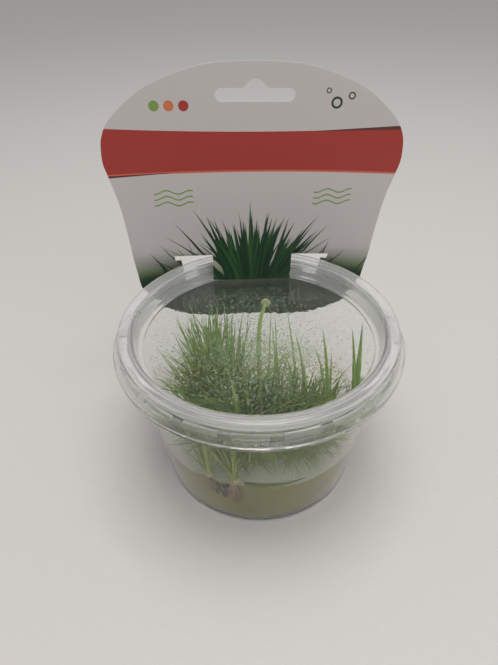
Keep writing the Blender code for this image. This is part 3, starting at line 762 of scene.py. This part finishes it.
def make_gel():
    """The gel: cloudy, drawn up a little at the wall, pushed in where the roots lie on the wall, and paler on
    its top as painted light.
    """
    bottom = FLOOR + GAP
    foot = inner_radius(FLOOR + FLOOR_FILLET) - GAP
    edge = inner_radius(GEL_TOP) - GAP
    profile = [(0, bottom), (foot - 0.4, bottom, 2.6)]
    for i in range(1, GEL_RINGS):
        z = FLOOR + FLOOR_FILLET + (GEL_TOP - FLOOR - FLOOR_FILLET) * i / GEL_RINGS
        profile.append((inner_radius(z) - GAP, z, 0.0))
    profile += [
        (edge + 0.03, GEL_TOP + 0.25, 0.05), (edge - 0.5, GEL_TOP + 0.1, 0.1), (edge - 2.2, GEL_TOP, 1.0),
    ]
    profile += [(radius, GEL_TOP, 0.0) for radius in (30, 22, 14, 7, 0)]
    mesh = turned_mesh("gel_body", rounded(profile, 0.3), GEL_TURNS)
    for vert in mesh.vertices:
        here = vert.co / MM
        radius = math.hypot(here.x, here.y)
        push = root_dent(math.atan2(here.y, here.x), here.z) * min(max((radius - 34) / 3, 0), 1)
        if push > 0:
            vert.co.xy *= (radius - push) / radius
    material, nodes = new_material("gel", (0.30, 0.27, 0.13), 0.28, 0.10, GEL_IOR)
    # Painted light: faces that look up get a pale colour and the sides a deeper olive, for the brighter light
    # that falls on the top
    facing_up = nodes.axis("Z", nodes.add("ShaderNodeNewGeometry").outputs["Normal"])
    deep = nodes.ramp(nodes.noise(45, 3), ((0.3, (0.245, 0.225, 0.04)), (0.8, (0.33, 0.31, 0.08))))
    painted_top_light = nodes.range(facing_up, 0.3, 0.8, 0, 1)
    nodes.colour(nodes.mix(painted_top_light, deep, (0.97, 0.95, 0.87)))
    nodes.bump(nodes.noise(120, 2), 0.2, 0.001)
    place_piece("gel_body", mesh, [material], "gel", "gel")


# Plants

CROWN_FLATNESS, CROWN_LIFT = 0.48, 0.35


def held_in(point):
    """The nearest place to a point inside the cup, over the gel and under the lid."""
    z = min(max(point.z, GEL_TOP + 0.5), DISC_BOTTOM - 0.6)
    limit = min(inner_radius(z), GROOVE_INNER_RADIUS) - 0.7
    radius = math.hypot(point.x, point.y)
    scale = min(1.0, limit / radius) if radius else 1.0
    return Vector((point.x * scale, point.y * scale, z))


def leaf_line(base, tip, lift, steps, sway=0.0):
    """Points along a leaf that leaves its base steeply and arches over to its tip."""
    base, tip = Vector(base), Vector(tip)
    middle = base.lerp(tip, 0.35)
    middle.z = base.z + (tip.z - base.z) * lift
    across = Vector((base.y - tip.y, tip.x - base.x, 0)).normalized()
    points = []
    for i in range(steps + 1):
        t = i / steps
        bend = across * sway * math.sin(math.pi * t) * t
        points.append(held_in(base * (1 - t) ** 2 + middle * 2 * t * (1 - t) + tip * t * t + bend))
    return points


class Growth:
    """Gathers leaves, strands and knobs into one mesh, with a tone for each point."""

    def __init__(self):
        self.verts, self.faces, self.tones = [], [], []

    def rings(self, rings, tone):
        """Joins rings of points into a closed skin. tone gives each ring's three numbers."""
        first = len(self.verts)
        sides = len(rings[0])
        for i, ring in enumerate(rings):
            self.verts += [p * MM for p in ring]
            self.tones += [tone(i / (len(rings) - 1))] * sides
        last = len(self.verts) - sides
        for a in range(first, last, sides):
            for k in range(sides):
                n = (k + 1) % sides
                self.faces.append((a + k, a + n, a + sides + n, a + sides + k))
        self.faces.append(tuple(range(first, first + sides))[::-1])
        self.faces.append(tuple(range(last, last + sides)))

    def leaf(self, points, width, hue, sheath=0.0, dry=0.0):
        """A flat tapering leaf with a shallow channel above and a rib below."""
        side = (points[-1] - points[0]).cross(Vector((0, 0, 1)))
        side = side.normalized() if side.length > 1e-6 else Vector((1, 0, 0))
        rings = []
        last = len(points) - 1
        for i, point in enumerate(points):
            along = points[min(i + 1, last)] - points[max(i - 1, 0)]
            out = side.cross(along).normalized()
            t = i / last
            share = max((1 - t) ** 0.75, 0.05) * (1 + sheath * max(0.0, 1 - 4 * t))
            half = side * width * 0.5 * share
            rib, fold = out * width * 0.16 * share, out * width * 0.10 * share
            rings.append([point - half + fold, point - rib, point + half + fold, point + 0.25 * fold])
        self.rings(rings, lambda t: (t, hue, dry))

    def strand(self, points, radii, hue, sides=6, kind=0.5):
        """A round tapering strand."""
        rings = []
        angles = [math.tau * k / sides for k in range(sides)]
        last = len(points) - 1
        for i, point in enumerate(points):
            along = (points[min(i + 1, last)] - points[max(i - 1, 0)]).normalized()
            side = along.orthogonal().normalized()
            other = along.cross(side)
            rings.append([point + (side * math.cos(a) + other * math.sin(a)) * radii[i] for a in angles])
        self.rings(rings, lambda t: (t, hue, kind))

    def knob(self, centre, radii, hue, kind, sides=14, steps=8):
        """A rounded lump."""
        rings = []
        angles = [math.tau * k / sides for k in range(sides)]
        for i in range(steps + 1):
            turn = math.pi * i / steps
            share = max(math.sin(turn), 0.02)
            rings.append([
                centre + Vector((
                    radii[0] * share * math.cos(a), radii[1] * share * math.sin(a), radii[2] * math.cos(turn),
                )) for a in angles
            ])
        self.rings(rings, lambda t: (0.0, hue, kind))

    def mesh(self, name):
        mesh = new_mesh(name, self.verts, self.faces)
        layer = mesh.color_attributes.new("tone", "FLOAT_COLOR", "POINT")
        for point, tone in zip(layer.data, self.tones):
            point.color = (*tone, 1)
        mesh.shade_smooth()
        bm = bmesh.new()
        bm.from_mesh(mesh)
        bmesh.ops.recalc_face_normals(bm, faces=bm.faces)
        bm.to_mesh(mesh)
        bm.free()
        return mesh


def leaf_material(name, base, middle, tip, dark, dry=None):
    """Leaf green that runs from a pale base to its tip, darker or dried on some leaves, with fine veins."""
    material, nodes = new_material(name, middle, 0.42)
    _, tone, _ = nodes.attribute("tone")
    along = nodes.ramp(tone["Red"], ((0.0, base), (0.22, middle), (0.7, middle), (1.0, tip)))
    shaded = nodes.mix(nodes.range(tone["Green"], 0, 1, 0, dark), along, (0.02, 0.055, 0.012))
    if dry:
        shaded = nodes.mix(tone["Blue"], shaded, dry)
    light = nodes.range(nodes.noise(500, 2), 0.35, 0.65, 0.0, 0.35)
    nodes.colour(nodes.mix(light, shaded, nodes.mix(0.5, shaded, (0.34, 0.42, 0.10))))
    nodes.roughness(nodes.range(nodes.noise(260, 2), 0.3, 0.7, 0.34, 0.52))
    nodes.bump(nodes.noise(900, 2), 0.25, 0.0003)
    nodes.shader.inputs["Subsurface Weight"].default_value = 0.12
    nodes.shader.inputs["Subsurface Scale"].default_value = 0.0008
    return material


# A fan of leaves: how many, the bearing they lean towards and the spread round it, their lean from upright,
# their length and width, the crowns they grow from if not all, and how dry they are
Fan = namedtuple("Fan", "count towards spread lean length width crowns dry", defaults=(None, 0.0))

FRONT_CROWNS = (1, 4, 5, 6)
# Each plant: name, crowns, crown radius, chosen leaves, fans of further leaves, seed. A chosen leaf gives the
# number of its crown, its tip, its lift and its width.
PLANTS = ((
    "clump_left",
    (
        (-15, -9), (-11, -5), (-18, -4), (-12, -13), (-6, -14), (-9, -20), (-17, -17), (-21, -11),
        (-4, -21),
    ), 3.4,
    (
        (2, -30, 18, 55, 0.6, 2.1), (2, -24, 17, 56, 0.6, 2.0), (0, -17, 19, 56, 0.65, 2.0),
        (2, -14, 23, 55, 0.6, 1.9), (1, -11, 24, 56, 0.6, 1.9), (1, -8, 18, 56, 0.65, 2.0),
        (1, -4, 17, 56, 0.6, 2.0), (1, -1, 13, 56, 0.65, 1.8), (0, -35, 3, 52, 0.8, 1.5),
        (0, -32, -18, 50, 0.9, 3.0), (2, -33, -9, 44, 0.85, 2.4), (3, -14, -9, 56, 0.7, 2.4),
        (3, -27, -24, 45, 0.9, 2.2), (5, -12, -28, 55, 0.9, 2.0),
    ),
    (
        Fan(420, 110, 150, (5, 60), (20, 36), (0.9, 1.6)),
        Fan(520, 268, 110, (10, 60), (20, 36), (0.9, 1.5)),
        Fan(200, 262, 60, (50, 86), (10, 20), (0.9, 1.5)),
        Fan(70, 98, 30, (34, 54), (33, 43), (1.2, 1.9), (0, 1, 2)),
        Fan(260, 268, 50, (35, 64), (17, 28), (1.0, 1.6), (4, 5, 8)),
        Fan(200, 266, 60, (20, 42), (28, 38), (1.0, 1.6), (4, 5, 6, 8)),
        Fan(70, 268, 60, (70, 88), (8, 17), (1.0, 1.7), (4, 5, 8)),
    ), 7,
), (
    "clump_middle",
    ((14, -12), (11, -17), (18, -8), (6, -12), (4, -20), (10, -22), (17, -17), (3, -6)), 3.0,
    (
        (0, 13, 17, 56, 0.7, 1.4), (2, 14, 4, 54, 0.8, 1.8), (0, 9, 2, 50, 0.8, 1.6),
        (3, 8, 14, 56, 0.7, 1.3), (3, 6, 8, 56, 0.7, 1.5), (7, 7, 18, 55, 0.7, 1.2),
    ),
    (
        Fan(430, 90, 180, (8, 70), (12, 27), (0.7, 1.2)),
        Fan(320, 265, 80, (15, 78), (14, 27), (0.7, 1.2)),
        Fan(130, 40, 100, (20, 80), (10, 20), (0.6, 1.0), dry=0.8),
        Fan(200, 275, 55, (35, 66), (14, 24), (0.8, 1.3), FRONT_CROWNS),
        Fan(160, 278, 60, (20, 44), (24, 34), (0.8, 1.3), FRONT_CROWNS),
        Fan(60, 270, 75, (66, 88), (8, 15), (0.7, 1.2), FRONT_CROWNS),
        Fan(50, 285, 70, (76, 92), (10, 21), (0.4, 0.7), (4, 5, 6), 1.0),
    ), 11,
), (
    "plantlet_right", ((25, -13),), 2.4,
    (
        (0, 24, 3, 56, 0.75, 2.1), (0, 20, -2, 53, 0.75, 1.6), (0, 27, -1, 48, 0.8, 1.5),
        (0, 30, -8, 44, 0.85, 1.6), (0, 22, -20, 42, 0.85, 1.4),
    ),
    (
        Fan(30, 60, 160, (10, 60), (8, 20), (0.6, 1.1)),
        Fan(30, 60, 180, (40, 85), (6, 14), (0.6, 1.1), dry=0.8),
    ), 5,
), (
    "plantlet_edge", ((35, -12),), 2.2,
    (
        (0, 39.3, 4.5, 56, 0.6, 3.3), (0, 34.6, 1.5, 56, 0.7, 2.4), (0, 37, -10, 44, 0.8, 1.4),
        (0, 34, -19, 40, 0.85, 1.3),
    ),
    (Fan(22, 60, 150, (10, 50), (8, 18), (0.6, 1.1)),), 3,
), (
    "plantlet_front", ((-12, -34.6),), 2.3,
    (
        (0, -23, -33.5, 47, 0.45, 3.6), (0, -11, -30, 45, 0.8, 2.2), (0, -6, -34, 40, 0.8, 1.8),
        (0, -16, -36, 37, 0.6, 2.0),
    ),
    (Fan(12, 110, 70, (10, 55), (10, 22), (1.0, 1.8)),), 1,
), (
    "plantlet_front_left", ((-20.5, -31.4),), 2.0,
    ((0, -25.5, -29, 44, 0.6, 2.6), (0, -21, -32.5, 44, 0.7, 2.2), (0, -29, -23, 38, 0.8, 1.5)),
    (Fan(10, 120, 70, (10, 55), (10, 20), (0.8, 1.4)),), 2,
))


# Thick leaves of the front plantlets that curve up along the wall, with their widths
WALL_LEAVES = {
    "plantlet_front": (
        ((
            (-12.4, -36.2, 27), (-14.1, -36.2, 31), (-16.1, -35.7, 35.4), (-17.8, -35.0, 39.3),
            (-19.6, -33.7, 44),
        ), 2.6),
    ),
    "plantlet_front_left": (
        (((-20.1, -32.8, 27.2), (-20.9, -32.7, 31), (-21.2, -32.5, 35.2), (-22.0, -31.6, 41)), 2.2),
        (((-21.8, -31.0, 26.6), (-23.2, -29.8, 28.5), (-24.0, -29.0, 32), (-24.8, -28.0, 37)), 1.7),
    ),
}
# The light leaf that stands out of the left clump, from the crown with this number
LIGHT_LEAF_CROWN = 5
LIGHT_LEAF = ((-8.6, -21, 38), (-9.4, -21.5, 44), (-10.2, -21, 49), (-11.2, -17, 53), (-12.6, -12, 55.5))
# Places on the front plantlets' leaves that no other leaf stands before
FRONT_SIGHTS = (
    (-12.2, -37.0, 27), (-13.2, -36.6, 31), (-15.0, -36.0, 35), (-17.8, -35.5, 39.5), (-22.1, -32, 26),
    (-22.4, -33, 31), (-22.3, -34, 36), (-18.6, -34.8, 28), (-19.6, -35.0, 33), (-20.4, -35.2, 38),
)
SIGHT_ROOM = 2.1
FALLEN_LEAF = ((-9, -37.2), (-4, -38.4), (2, -38.5), (7, -37.9), (12, -36.4))
STEM_RADIUS = 0.95
STEM_LINE = (
    (-1.0, -13, 25.0), (-0.6, -11, 34), (-0.4, -7, 44), (0.0, -1, 51), (1.0, 6, 54.4),
    (2.6, 14, 55.3), (5.6, 23, 55.3),
)
# The knob, and where the tiny flowers sit round its middle
KNOB_RADII, FLOWER_RADII, FLOWERS = (1.7, 1.9, 1.35), (1.7, 1.9, 1.3), 60
# Leaf colours from base over middle to tip
GREEN_LEAF = ((0.42, 0.53, 0.13), (0.24, 0.45, 0.055), (0.18, 0.34, 0.05))
# The front plantlets' leaves are their own paler yellow-green, made lighter still as painted light
FRONT_LEAF = ((0.72, 0.76, 0.34), (0.52, 0.66, 0.13), (0.24, 0.40, 0.06))
STEM_GREEN = ((0.30, 0.38, 0.10), (0.26, 0.36, 0.09), (0.34, 0.42, 0.14))
FALLEN_GREEN = ((0.46, 0.48, 0.16), (0.20, 0.31, 0.03), (0.02, 0.04, 0.01))
# The colour of dried leaves, and the painted light green mixed into the green leaves toward the front wall
DRY_LEAF, PAINTED_LIGHT_GREEN = (0.40, 0.33, 0.16), (0.50, 0.68, 0.13)
ROOT_TOP, ROOT_STEPS = GEL_TOP + 0.6, 12
DEAD_LEAVES, DEAD_LEAF_RADII = 16, (0.4, 0.55, 0.5, 0.4, 0.15)


def hides(points, kept):
    """True if a leaf stands between the photograph's camera and what should stay in sight."""
    for near in points:
        ray = near * MM - CAMERA_PLACE
        for far in kept:
            sight = far * MM - CAMERA_PLACE
            share = ray.dot(sight) / sight.length_squared
            if share < 0.995 and (ray - sight * share).length < SIGHT_ROOM * MM * share:
                return True
    return False


def fan_leaf(draw, fan, bases, crown_radius):
    """The line of one leaf of a fan, drawn at random."""
    crown = draw.choice(fan.crowns or range(len(bases)))
    angle = math.radians(fan.towards + draw.uniform(-1, 1) * fan.spread)
    lean = math.radians(draw.uniform(*fan.lean))
    length = draw.uniform(*fan.length)
    start = bases[crown] + Vector((draw.gauss(0, 0.35), draw.gauss(0, 0.35), 0)) * crown_radius
    reach = length * math.sin(lean)
    away = Vector((math.cos(angle) * reach, math.sin(angle) * reach, length * math.cos(lean)))
    return leaf_line(start, start + away, draw.uniform(0.5, 0.9), 7, draw.uniform(-3, 3))


def plant_mesh(name, crowns, crown_radius, chosen, fans, seed):
    """A plant as one mesh: its crowns, the chosen leaves, the fans and the leaves along the wall."""
    kept = smooth_line(STEM_LINE, 3) + [Vector(p) for p in LIGHT_LEAF + FRONT_SIGHTS]
    draw = random.Random(seed)
    growth = Growth()
    crown_height = crown_radius * CROWN_FLATNESS
    bases = [Vector((x, y, GEL_TOP + CROWN_LIFT + crown_height)) for x, y in crowns]
    for base in bases:
        growth.knob(base, (0.8 * crown_radius, 0.8 * crown_radius, crown_height), 0.3, 0.0)
    for crown, x, y, z, lift, width in chosen:
        away = Vector((x - bases[crown].x, y - bases[crown].y, 0)).normalized()
        line = leaf_line(bases[crown] + away * 0.3 * crown_radius, (x, y, z), lift, 12)
        growth.leaf(line, width, draw.uniform(0, 0.35), 0.5)
    for fan in fans:
        for _ in range(fan.count):
            line = fan_leaf(draw, fan, bases, crown_radius)
            width, hue, dried = draw.uniform(*fan.width), draw.random(), draw.random()
            if name.startswith("plantlet") or not hides(line, kept):
                dry = max(fan.dry, 0.5 if dried > 0.94 else 0.0) * dried
                growth.leaf(line, width, hue, 0.5, dry)
    if name == "clump_left":
        light_leaf = [bases[LIGHT_LEAF_CROWN]] + [Vector(p) for p in LIGHT_LEAF]
        growth.leaf(light_leaf, 3.0, 0.0, 0.2, 0.25)
    for line, width in WALL_LEAVES.get(name, ()):
        growth.leaf([bases[0]] + smooth_line(line, 3), width, 0.1, 0.1, 0.1)
    return growth.mesh(name)


def grow_plants():
    """Every plant as a piece of its own, in one of two greens, with painted light on the leaves near the
    front.
    """
    green = leaf_material("leaf", *GREEN_LEAF, 0.55, DRY_LEAF)
    # The front plantlets' own paler yellow-green, made lighter still as painted light for the light they
    # catch at the front wall
    pale = leaf_material("front leaf", *FRONT_LEAF, 0.2, DRY_LEAF)
    nodes = Nodes(green)
    # Painted light: the green leaves get up to 0.6 of a lighter green from 16 to 30 mm in front of the axis,
    # for the light they catch there
    nodes.tint(nodes.range(nodes.axis("Y"), -0.016, -0.030, 0, 0.6), PAINTED_LIGHT_GREEN)
    for plant in PLANTS:
        name = plant[0]
        material = pale if name.startswith("plantlet_front") else green
        place_piece(f"{name}_leaves", plant_mesh(*plant), [material], "leaf", name)


def smooth_line(points, steps):
    """A curve through points in space, as vectors."""
    return [Vector(p) for p in smooth_outline(points, steps)]


def make_stem():
    """The flower stem, its knob and the tiny pale flowers on the knob."""
    growth = Growth()
    line = smooth_line(STEM_LINE, 5)
    growth.strand(line, [STEM_RADIUS * (1.15 - 0.5 * i / len(line)) for i in range(len(line))], 0.0, 10)
    growth.knob(line[0], (1.9, 1.9, 1.0), 0.0, 0.5)
    growth.knob(line[-1], KNOB_RADII, 0.0, 1.0)
    draw = random.Random(9)
    for _ in range(FLOWERS):
        turn, height = draw.uniform(0, math.tau), draw.uniform(-0.9, 0.9)
        share = math.sqrt(1 - height * height)
        around = (share * math.cos(turn), share * math.sin(turn), height)
        spot = line[-1] + Vector([r * c for r, c in zip(FLOWER_RADII, around)])
        growth.knob(spot, (0.28, 0.28, 0.24), 0.0, 1.0, 6, 4)
    material = leaf_material("stem", *STEM_GREEN, 0.1)
    nodes = Nodes(material)
    _, tone, _ = nodes.attribute("tone")
    nodes.tint(nodes.range(tone["Blue"], 0.6, 0.9, 0, 1), (0.38, 0.43, 0.22))
    place_piece("stem_and_knob", growth.mesh("stem_and_knob"), [material], "pale_leaf", "flower_stem")


def make_fallen_leaf():
    """The leaf that lies on the gel along the front wall."""
    growth = Growth()
    line = smooth_outline(FALLEN_LEAF, 4)
    last = len(line) - 1
    points = [Vector((x, y, GEL_TOP + 0.9 - 0.2 * i / last)) for i, (x, y) in enumerate(line)]
    growth.leaf(points, 2.7, 0.1)
    material = leaf_material("fallen leaf", *FALLEN_GREEN, 0.2)
    place_piece("fallen_leaf_blade", growth.mesh("fallen_leaf_blade"), [material], "leaf", "fallen_leaf")


def at_bearing(bearing, radius, z):
    """The point at a bearing and a distance from the cup's axis."""
    return Vector((radius * math.cos(bearing), radius * math.sin(bearing), z))


def root_material():
    """Pinkish brown roots, darker at their tips and here and there, and nearly black bits of dead leaf."""
    material, nodes = new_material("root", (0.34, 0.17, 0.11), 0.5)
    _, tone, _ = nodes.attribute("tone")
    pink = nodes.ramp(tone["Red"], (
        (0.0, (0.58, 0.44, 0.27)), (0.4, (0.42, 0.25, 0.12)), (1.0, (0.28, 0.15, 0.06)),
    ))
    shaded = nodes.mix(nodes.range(tone["Green"], 0, 1, 0, 0.5), pink, (0.16, 0.08, 0.045))
    nodes.colour(nodes.mix(tone["Blue"], shaded, (0.035, 0.032, 0.018)))
    nodes.bump(nodes.noise(800, 2), 0.4, 0.0003)
    return material


def root_line(draw, middle, spread, foot):
    """A wavy root that leaves its bundle and goes down along the wall."""
    side = draw.uniform(-1, 1) * spread
    low = foot + draw.uniform(0, 6)
    phase, wave, inset = draw.uniform(0, 6), draw.uniform(0.15, 0.5), draw.uniform(0.45, 1.1)
    points = []
    for i in range(ROOT_STEPS + 1):
        t = i / ROOT_STEPS
        z = ROOT_TOP + (low - ROOT_TOP) * t
        bearing = middle + (side * t ** 0.6 + wave * math.sin(9 * t + phase) * t) / ROOT_RADIUS
        points.append(at_bearing(bearing, inner_radius(z) - inset - 1.6 * max(0.0, 1 - 4 * t), z))
    return points


def dead_leaf_line(draw, middle):
    """A bit of dead leaf on the wall, left of the front bundle."""
    bearing = middle - draw.uniform(1.6, 7.0) / ROOT_RADIUS
    z = draw.uniform(16.5, GEL_TOP + 0.4)
    points = []
    for _ in DEAD_LEAF_RADII:
        z += draw.uniform(-1.2, 0.2)
        bearing += draw.uniform(-0.7, 0.5) / ROOT_RADIUS
        points.append(at_bearing(bearing, inner_radius(z) - 0.75, z))
    return points


def make_roots():
    """The wavy roots under the front plantlets, spread on the wall, with dead leaf bases by them."""
    material = root_material()
    for name, (middle, spread, foot, count, seed) in ROOT_FANS.items():
        draw = random.Random(seed)
        growth = Growth()
        middle = math.radians(middle)
        for _ in range(count):
            line = root_line(draw, middle, spread, foot)
            thick = draw.uniform(0.18, 0.34)
            radii = [thick * (1 - 0.6 * i / ROOT_STEPS) for i in range(ROOT_STEPS + 1)]
            growth.strand(line, radii, draw.random(), 5, 0.0)
        if name == "roots_front":
            for _ in range(DEAD_LEAVES):
                line = dead_leaf_line(draw, middle)
                growth.strand(line, DEAD_LEAF_RADII, draw.random(), 5, draw.uniform(0.75, 1.0))
        growth.knob(at_bearing(middle, inner_radius(ROOT_TOP) - 2.4, ROOT_TOP), (1.5, 1.5, 1.0), 0.0, 0.0)
        place_piece(f"{name}_strands", growth.mesh(name), [material], "root", name)


def main():
    light_scene()
    aim_camera()
    lay_floor()
    make_cup()
    make_lid()
    make_mist()
    make_card()
    make_gel()
    grow_plants()
    make_stem()
    make_fallen_leaf()
    make_roots()


main()
